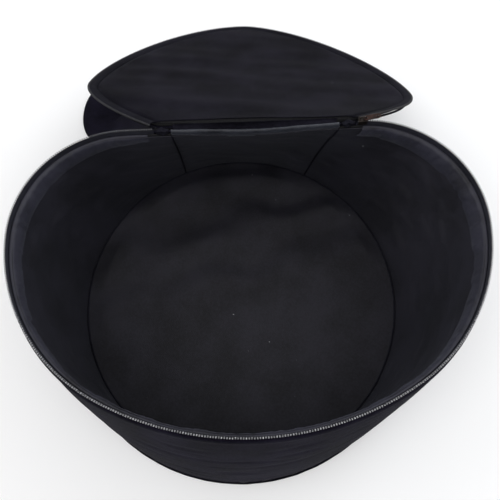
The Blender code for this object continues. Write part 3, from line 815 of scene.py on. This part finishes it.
def makeEndTab(name, sign, tabBox, node):
    # the tape's end is folded over twice and tacked down, so it bunches up
    middle = (tabBox[0] + tabBox[1]) / 2
    size = tabBox[1] - tabBox[0]
    bm = bmesh.new()
    bmesh.ops.create_cube(bm, size=1.0)
    bmesh.ops.subdivide_edges(bm, edges=bm.edges[:], cuts=9, use_grid_fill=True)
    addFlatMap(bm, size.x, size.z)
    for vert in bm.verts:
        x, y, z = vert.co
        fat = 1.5 + 1.5 * wave((x, z, y), 0.35, 5.0 + sign) - 1.1 * (2 * x) ** 4
        vert.co = middle + Vector((size.x * x, size.y * y * max(0.5, fat) + 0.0012 * math.sin(9 * x + 4 * z),
                                   size.z * z * (1.02 + 0.22 * wave((x, y, 0), 0.3, 1.7))))
    finishPiece(name, bm, "bindingTape", "bag", (node,))


# Slider, bail and pull

slider = {"bore": 0.0027, "slot": 0.0014, "edge": 0.0007}
pullTab = {"length": 0.026, "width": 0.008, "thickness": 0.0018, "rest": 14, "bail": 0.0046, "wire": 0.0009}


def makeSlider():
    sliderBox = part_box("zip_slider")
    middle = (sliderBox[0] + sliderBox[1]) / 2
    size = sliderBox[1] - sliderBox[0]
    bore, slot = slider["bore"], slider["slot"]
    bm = bmesh.new()
    # two cheeks and a bridge, as the cross-section of a half zip's slider
    wide, tall = size.y / 2, size.z / 2
    profile = [(slot, -tall), (wide, -tall), (wide, tall), (-wide, tall), (-wide, -tall), (-slot, -tall),
               (-slot, -bore), (-bore, -bore), (-bore, bore), (bore, bore), (bore, -bore), (slot, -bore)]
    outline = [bm.verts.new((-size.x / 2, y, z)) for y, z in profile]
    face = bm.faces.new(outline)
    grown = bmesh.ops.extrude_face_region(bm, geom=[face])
    moved = [item for item in grown["geom"] if isinstance(item, bmesh.types.BMVert)]
    bmesh.ops.translate(bm, vec=(size.x, 0, 0), verts=moved)
    bmesh.ops.recalc_face_normals(bm, faces=bm.faces)
    outer = [edge for edge in bm.edges
             if all(abs(vert.co.y) > bore + 0.0001 or abs(vert.co.z) > bore + 0.0001 for vert in edge.verts)]
    roundEdges(bm, outer, slider["edge"], 3)
    for vert in bm.verts:
        vert.co.y *= 1 - 0.22 * (vert.co.x / size.x + 0.5) * (1 if abs(vert.co.y) > bore + 0.0002 else 0)
    bmesh.ops.translate(bm, vec=middle, verts=bm.verts)
    finishPiece("slider_body", bm, "sliderMetal", "slider", ("zip_slider",), smooth=False)
    arch = pullAxis
    points = [Vector((arch.x + pullTab["bail"], arch.y, sliderBox[1].z - 0.0002))]
    points += [arch + pullTab["bail"] * Vector((math.cos(a * math.pi / 14), 0, math.sin(a * math.pi / 14)))
               for a in range(15)]
    points.append(Vector((arch.x - pullTab["bail"], arch.y, sliderBox[1].z - 0.0002)))
    strand("slider_ring", points, pullTab["wire"], "sliderMetal", "slider",
           replaced=("slider_bail",), upright=(0, 1, 0))
    makePull()


def makePull():
    half = pullTab["width"] / 2
    near, far = pullTab["bail"], pullTab["bail"] + pullTab["length"] - pullTab["width"]
    bm = bmesh.new()
    plate = []
    for first, middle in ((halfTurn, near), (-halfTurn, far)):
        for i in range(17):
            angle = first + math.pi * i / 16
            plate.append(bm.verts.new((middle + half * math.cos(angle), half * math.sin(angle), 0)))
    rims = [bm.edges.new((plate[i], plate[(i + 1) % len(plate)])) for i in range(len(plate))]
    for middle, radius in ((near, pullTab["wire"] + 0.0009), (far, half / 2)):
        centre = Matrix.Translation((middle, 0, 0))
        hole = bmesh.ops.create_circle(bm, segments=20, radius=radius, matrix=centre)
        rims += list({edge for vert in hole["verts"] for edge in vert.link_edges})
    bmesh.ops.triangle_fill(bm, use_beauty=True, use_dissolve=False, edges=rims)
    grown = bmesh.ops.extrude_face_region(bm, geom=bm.faces[:])
    moved = [item for item in grown["geom"] if isinstance(item, bmesh.types.BMVert)]
    bmesh.ops.translate(bm, vec=(0, 0, pullTab["thickness"]), verts=moved)
    bmesh.ops.recalc_face_normals(bm, faces=bm.faces)
    sharp = [edge for edge in bm.edges if edge.is_manifold and edge.calc_face_angle() > 1]
    roundEdges(bm, sharp, 0.0003, 2)
    tilt = Matrix.Rotation(-math.radians(pullTab["rest"]), 4, "Y")
    place = Matrix.Translation(pullAxis) @ tilt @ Matrix.Translation((0, 0, -pullTab["thickness"] / 2))
    bmesh.ops.transform(bm, matrix=place, verts=bm.verts)
    finishPiece("pull_plate", bm, "pullMetal", "pull", ("pull_tab",), smooth=False)


makeMouthZip()
makeSlider()
print("slider and pull are made")


# Hinge: a satin-bound edge and the cloth that joins it to the lid

lid = {
    "length": 0.4530,
    "slope": -31.5,
    "halfWidth": 0.2840,
    "hingeHalf": 0.1560,
    "widest": 0.1460,
    "pointed": 1.65,
    "start": 0.0080,
    "bow": 0.010,
    "roll": 0.08,
    "seam": 0.0142,         # outer edge to the seam of the padded panel
    "thickness": 0.0128,
    "pillow": 0.0034,       # how far the padded panel drops at its seam
    "ripple": 0.0024,
    "piping": 0.0019,
}
ribbon = {"overhang": 0.004, "thick": 0.0042, "tall": 0.0072}
slope = math.radians(lid["slope"])
lidAlong = Vector((0, math.cos(slope), math.sin(slope)))
lidUp = Vector((0, -math.sin(slope), math.cos(slope)))


def lidSpot(x, distance, depth=0.0):
    share = distance / lid["length"]
    roll = lid["roll"] * (x - hingeAxis.x) * math.sin(halfTurn * min(1, distance / lid["widest"]))
    height = -4 * lid["bow"] * share * (1 - share) - roll - depth
    return hingeAxis + Vector((x - hingeAxis.x, 0, 0)) + distance * lidAlong + height * lidUp


def lidHalf(turn):
    # half width and distance from the hinge: flares out to turn 1, then rounds off to the far end at 2
    if turn <= 1:
        distance = lid["start"] + (lid["widest"] - lid["start"]) * turn
        flare = math.sin(halfTurn * distance / lid["widest"])
        return Vector((lid["hingeHalf"] + (lid["halfWidth"] - lid["hingeHalf"]) * flare, distance))
    power = 2 / lid["pointed"]
    angle = halfTurn * (min(turn, 2) - 1)
    return Vector((lid["halfWidth"] * max(0, math.cos(angle)) ** power if turn < 2 else 0,
                   lid["widest"] + (lid["length"] - lid["widest"]) * math.sin(angle) ** power))


def lidEdge(turn, inset):
    # turn runs from 0 at the right corner over 2 at the far end to 4 at the left corner
    half = 4 - turn if turn > 2 else turn
    along = (lidHalf(min(2, half + 0.01)) - lidHalf(max(0, half - 0.01))).normalized()
    inward = Vector((0, -1)) if half > 1.995 else Vector((-along.y, along.x))
    spot = lidHalf(half) + inset * inward
    spot.x = max(0, spot.x)
    spot.y = max(spot.y, lid["start"])
    return Vector((-spot.x if turn > 2 else spot.x, spot.y))


def evenTurns(count, inset):
    # turns that stand evenly along the lid's edge
    fine = [4 * i / 800 for i in range(801)]
    spots = [lidEdge(turn, inset) for turn in fine]
    run = [0.0]
    for a, b in zip(spots, spots[1:]):
        run.append(run[-1] + (b - a).length)
    turns = []
    at = 0
    for i in range(count):
        goal = run[-1] * i / (count - 1)
        while at < len(run) - 2 and run[at + 1] < goal:
            at += 1
        share = (goal - run[at]) / max(1e-9, run[at + 1] - run[at])
        turns.append(fine[at] + share * (fine[at + 1] - fine[at]))
    return turns, run[-1]


def makeHinge():
    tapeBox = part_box("hinge_binding")
    start, end = tapeBox[0].x - ribbon["overhang"], tapeBox[1].x + ribbon["overhang"]
    middle, thick, tall = (tapeBox[0].z + tapeBox[1].z) / 2, ribbon["thick"], ribbon["tall"]

    def bound(x, angle):
        distance = x - hingeAxis.x
        pinch = 0.85 + 0.3 * wave((x, 0, 0), 0.016, 3.7) + 0.15 * wave((x, angle, 0), 0.006, 1.9)
        droop = 1 + (0.9 * hingeSag(distance) / bag["hingeSag"] if math.sin(angle) < 0 else 0)
        return Vector((x, mouthBack - 0.0016 + thick * pinch * math.cos(angle),
                       middle - hingeSag(distance)
                       + tall * droop * math.sin(angle) * (0.9 + 0.2 * wave((x, 9, 0), 0.03))))

    bm = shapedGrid(170, 16, end - start, 0.026,
                    lambda u, v: bound(start + (end - start) * u, 2 * math.pi * v), closed=True)
    closeEnds(bm)
    finishPiece("hinge_ribbon", bm, "satinRibbon", "bag", ("hinge_binding",))

    def flap(u, v):
        x = start + 0.003 + (end - start - 0.006) * u
        low = bound(x, 0.35 * math.pi) + Vector((0, 0, -0.0004))
        high = lidSpot(x, lid["start"] + 0.0004, 0.0004)
        spot = low.lerp(high, v)
        spot.y += 0.0026 * math.sin(math.pi * v) * (1 + 0.6 * wave((x, 0, 0), 0.03, 8.1))
        spot.z += 0.0006 * wave((x, 0.02 * v, 0), 0.008, 2.6)
        return spot

    bm = shapedGrid(150, 10, end - start, 0.016, flap)
    cloth = finishPiece("hinge_flap_cloth", bm, "lidNylon")
    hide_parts("lid_hinge_strip")
    thicken(cloth, 0.0008, 0)
    flap(0.5, 0.02)
    flap(0.5, 0.95)
    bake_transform(cloth)
    print("hinge is sewn")


def lidPanel(name, inset, depth, finish, node, columns, rows):
    bm = shapedGrid(columns, rows, 2 * lid["halfWidth"], lid["length"],
                    lambda u, v: lidPanelSpot(u, v, inset, depth), closed=True)
    return finishPiece(name, bm, finish, "lid", (node,))


def lidPanelSpot(u, v, inset, depth):
    turn = 2 * (1 - (1 - v) ** 1.25)
    edge = lidEdge(turn, inset)
    share = 2 * u - 1
    near = min((1 - abs(share)) * edge.x / 0.014, (edge.y - lid["start"]) / 0.012, 1)
    return lidSpot(hingeAxis.x + share * edge.x, edge.y, depth(share * edge.x, edge.y, near))


def makeLid():
    seam = lid["seam"]

    def insideDepth(x, distance, near):
        bands = wave((0.25 * x + 0.3 * distance, distance, 0), 0.040, 2.8)
        bands += 0.5 * wave((x, distance, 0), 0.09, 7.3)
        drop = lid["pillow"] * (1 - near) ** 2
        return drop - near * (0.0016 + lid["ripple"] * bands)

    def outsideDepth(x, distance, near):
        dent = 0.0011 * near * (0.5 + 0.5 * wave((x, 0.6 * distance, 0), 0.06, 4.9))
        return lid["thickness"] + 0.0002 - dent - 0.004 * (1 - near) ** 2

    inner = lidPanel("lid_inner_cloth", seam, insideDepth, "lidNylon", "lid_lining", 190, 130)
    thicken(inner, 0.0011, -1)
    outer = lidPanel("lid_shell_cloth", seam, outsideDepth, "shellNylon", "lid_outer_panel",
                     170, 120)
    thicken(outer, 0.0012, 1)
    makeLidPadding(insideDepth, outsideDepth)
    tapeTurns, tapeLength = evenTurns(620, seam)
    makeLidTape(tapeTurns, tapeLength)
    print("lid is made")


def makeLidPadding(insideDepth, outsideDepth):
    inset = lid["seam"] + 0.0015

    def place(u, v):
        # u goes across the inner face and back across the outer one
        share = 2 * u if u < 0.5 else 2 - 2 * u
        turn = 2 * (1 - (1 - (0.006 + 0.988 * v)) ** 1.25)
        edge = lidEdge(turn, inset)
        x = (2 * share - 1) * edge.x
        near = min((1 - abs(2 * share - 1)) * edge.x / 0.014, (edge.y - lid["start"]) / 0.012, 1)
        if u < 0.5:
            depth = insideDepth(x, edge.y, near) + 0.0015
        else:
            depth = outsideDepth(x, edge.y, near) - 0.0016
        return lidSpot(hingeAxis.x + x, edge.y, depth)

    bm = shapedGrid(200, 80, 1.1, 0.44, place, closed=True)
    closeEnds(bm)
    padding = finishPiece("lid_padding", bm, "paddingFoam", "lid", ("lid_foam_pad",))


def makeLidTape(turns, length):
    seam = lid["seam"]

    def place(u, v):
        turn = turns[min(len(turns) - 1, round(u * (len(turns) - 1)))]
        inset = seam + 0.0022 - (seam + 0.0022 - 0.0034) * v
        edge = lidEdge(turn, inset)
        lift = (0.0011 + 0.0007 * wave((edge.x, edge.y, 0), 0.014, 4.3)) * math.sin(math.pi * v)
        return lidSpot(hingeAxis.x + edge.x, edge.y, 0.0022 * (1 - v) - lift)

    bm = shapedGrid(len(turns) - 1, 8, length, seam, place)
    tape = finishPiece("lid_zip_cloth", bm, "bindingTape", "lid", ("lid_zip_tape",))
    thicken(tape, zipper["tape"], 0)
    edgeTurns, _ = evenTurns(round(zipper["lidRun"] / zipper["pitch"]), zipper["lidInset"])
    places = []
    for turn in edgeTurns:
        here, inside = lidEdge(turn, zipper["lidInset"]), lidEdge(turn, 0.006)
        spot = lidSpot(hingeAxis.x + here.x, here.y, 0.0005)
        outward = (spot - lidSpot(hingeAxis.x + inside.x, inside.y, 0.0005)).normalized()
        along = outward.cross(lidUp).normalized()
        places.append(axesAt(along, outward.cross(along), outward, spot))
    teeth = toothRow("lid_zip_teeth", places, "lidTeeth", "lid", ("lid_zip_coil",))
    pipeTurns, _ = evenTurns(300, seam - 0.0021)
    points = []
    for turn in pipeTurns:
        edge = lidEdge(turn, seam - 0.0021)
        points.append(lidSpot(hingeAxis.x + edge.x, edge.y, lid["thickness"] - 0.0018))
    strand("lid_piping", points, lid["piping"], "bindingTape", "lid",
           replaced=("lid_edge_piping",))


makeHinge()
makeLid()


# Shoulder straps: padded straps that lie behind the bag, with ladder buckles and webbing

strap = {
    "width": 0.080,
    "thickness": 0.0095,
    "webWidth": 0.025,
    "webThickness": 0.0018,
    "patch": 0.040,
    "upper": (0.060, 0.084),     # across from the hinge's middle, and along the lid
    "lower": (0.095, 0.372),
    "patchDepth": 0.0140,
    "strapDepth": 0.0186,
    "reach": {"left": -0.267, "right": 0.235},
    "hangs": ((0.36, 0.014, 0.470), (0.70, 0.036, 0.190), (0.91, 0.054, 0.051)),
    "lies": ((1.0, 0.350), (0.98, 0.530), (0.85, 0.680)),
    "lift": 0.0006,
    "lead": 0.30,
    "buckle": 0.030,
    "bar": 0.0040,
    "squashed": 0.22,
    "foldAt": 0.22,              # along the lid; the spot it gives is worked out but not used
    "piping": 0.0027,
    "buckleEdge": 0.0009,
    "stitch": (0.0024, 0.0007, 0.0007),
}


def smoothRun(points, count):
    ends = [2 * points[0] - points[1]] + points + [2 * points[-1] - points[-2]]
    run = []
    for k in range(count + 1):
        at = (len(points) - 1) * k / count
        i = min(int(at), len(points) - 2)
        t = at - i
        a, b, c, d = ends[i:i + 4]
        run.append(0.5 * (2 * b + (c - a) * t + (2 * a - 5 * b + 4 * c - d) * t ** 2
                          + (3 * b - a - 3 * c + d) * t ** 3))
    return run


def strapFrames(points, firstUp, lastUp, count):
    run = smoothRun(points, count)
    frames = []
    for i, spot in enumerate(run):
        along = (run[min(i + 1, count)] - run[max(i - 1, 0)]).normalized()
        across = along.cross(firstUp.lerp(lastUp, min(1, 2 * i / count))).normalized()
        frames.append((spot, across, across.cross(along).normalized(), along))
    return frames


def runLength(frames):
    return sum((b[0] - a[0]).length for a, b in zip(frames, frames[1:]))


def bandPiece(name, frames, width, thickness, section, finish, replaced, around=28):
    # a closed band along the frames; section gives across and up for a turn round it
    rows = len(frames) - 1

    def place(u, v):
        spot, across, up, _ = frames[round(v * rows)]
        side, lift = section(2 * math.pi * u, v)
        return spot + across * side * width / 2 + up * lift * thickness / 2

    bm = shapedGrid(around, rows, 2 * width, runLength(frames), place, closed=True)
    closeEnds(bm)
    return finishPiece(name, bm, finish, "lid", replaced)


def padSection(seed):
    def section(angle, v):
        tip = min(1, v / 0.04, (1 - v) / 0.03)
        full = math.sqrt(max(0, 1 - (1 - tip) ** 2))
        side = math.copysign(abs(math.cos(angle)) ** 0.45, math.cos(angle))
        lift = math.copysign(abs(math.sin(angle)) ** 0.8, math.sin(angle))
        quilt = 1 - 0.10 * math.exp(-((abs(side) - 0.78) / 0.05) ** 2)
        puff = quilt * (0.94 + 0.16 * wave((side, 9 * v, 0), 0.8, seed))
        return side * (0.86 + 0.14 * full), lift * puff * (0.35 + 0.65 * full)
    return section


def tapeSection(angle, v):
    side = math.copysign(abs(math.cos(angle)) ** 0.2, math.cos(angle))
    lift = math.copysign(abs(math.sin(angle)) ** 0.6, math.sin(angle))
    return side, lift


def ladderBuckle(name, stance, node):
    # two side bars and three cross bars
    middle, across, up, along = stance
    bar = strap["bar"]
    half = strap["webWidth"] / 2 + bar
    bm = bmesh.new()
    parts = [(0, side * (half - bar / 2), strap["buckle"], bar) for side in (-1, 1)]
    parts += [(x * (strap["buckle"] - bar) / 2, 0, bar, 2 * half - 1.6 * bar) for x in (-1, 0, 1)]
    turn = axesAt(along, across, up, middle)
    for x, y, length, width in parts:
        bmesh.ops.create_cube(bm, size=1.0, matrix=turn @ Matrix.Translation((x, y, 0))
                              @ Matrix.Diagonal((length, width, bar, 1)))
    roundEdges(bm, bm.edges[:], strap["buckleEdge"], 3)
    return finishPiece(name, bm, "bucklePlastic", "lid", (node,))


def lidPatch(name, x, distance, node):
    half = strap["patch"] / 2

    def place(u, v):
        edge = max(abs(2 * u - 1), abs(2 * v - 1))
        depth = strap["patchDepth"] - 0.0006 + 0.0004 * edge ** 8 + 0.0003 * wave((u, v, x), 0.2, 3.0)
        return lidSpot(x + half * (2 * u - 1), distance + half * (2 * v - 1), depth)

    bm = shapedGrid(24, 24, strap["patch"], strap["patch"], place)
    for face in bm.faces:
        face.normal_flip()
    patch = finishPiece(name, bm, "strapWebbing", "lid", (node,))
    thicken(patch, 0.0022, 1)
    spots = []
    corners = [(-0.8, -0.8), (0.8, -0.8), (0.8, 0.8), (-0.8, 0.8)]
    lines = list(zip(corners, corners[1:] + corners[:1]))
    lines += [(corners[0], corners[2]), (corners[1], corners[3])]
    for first, last in lines:
        for i in range(11):
            t = (i + 0.5) / 11
            u = [first[k] + (last[k] - first[k]) * t for k in (0, 1)]
            spot = lidSpot(x + half * u[0], distance + half * u[1], strap["patchDepth"] + 0.0021)
            along = Vector((last[0] - first[0], 0, 0)) + (last[1] - first[1]) * lidAlong
            spots.append((spot, along, -lidUp))
    stitches = stitchRow(name + "_stitches", spots, strap["stitch"], "seamThread", "lid")


def makeStrap(name, side):
    topX = hingeAxis.x + side * strap["upper"][0]
    lowX = hingeAxis.x + side * strap["lower"][0]
    reach = strap["reach"][name]
    start = lidSpot(topX, strap["upper"][1], strap["strapDepth"] + strap["thickness"] / 2)
    resting = strap["thickness"] / 2 + strap["lift"]
    way = mouthBack + strap["lower"][1] * lidAlong.y - bag["outerRadius"]
    points = [start]
    points += [Vector((topX + out * (reach - topX), bag["outerRadius"] + behind, rise * zipHeight))
               for out, behind, rise in strap["hangs"]]
    points += [Vector((out * reach, bag["outerRadius"] + share * way, resting))
               for out, share in strap["lies"]]
    up = Vector((0, 0, 1))
    frames = strapFrames(points, lidUp, up, 120)
    pad = bandPiece(name + "_shoulder_pad", frames, strap["width"], strap["thickness"],
                    padSection(2.0 + side), "shellNylon", (name + "_strap_pad",), around=48)
    edges = []
    for hand in (-1, 1):
        away = hand * (strap["width"] / 2 - 0.0012)
        line = [spot + away * across for spot, across, _, _ in frames[4:-4]]
        edge = name + ("_pad_edge_a" if hand < 0 else "_pad_edge_b")
        edges.append(strand(edge, line, strap["piping"], "bindingTape", "lid"))
    spot, across, upNow, along = frames[-1]
    centre = spot + along * (strap["buckle"] / 2 + 0.001)
    buckle = ladderBuckle(name + "_ladder_buckle", (centre, across, upNow, along),
                          name + "_strap_buckle")
    leave = spot + along * (strap["buckle"] - 0.012)
    finish = lidSpot(lowX, strap["lower"][1], strap["strapDepth"] + strap["webThickness"] / 2)
    bend = leave + strap["lead"] * (finish - leave).length * along
    webFrames = strapFrames([leave, bend, bend.lerp(finish, 0.5), finish], up, lidUp, 60)
    webbing = bandPiece(name + "_strap_web", webFrames, strap["webWidth"], strap["webThickness"], tapeSection,
                        "strapWebbing", (name + "_strap_webbing",), around=20)
    lidPatch(name + "_upper_anchor", topX, strap["upper"][1], name + "_strap_upper_patch")
    lidPatch(name + "_lower_anchor", lowX, strap["lower"][1], name + "_strap_lower_patch")
    face = lidSpot(hingeAxis.x, strap["foldAt"], lid["thickness"] + 0.002)
    for piece in [pad, buckle, webbing] + edges:
        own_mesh(piece)


makeStrap("left", -1)
makeStrap("right", 1)
print("straps are made")
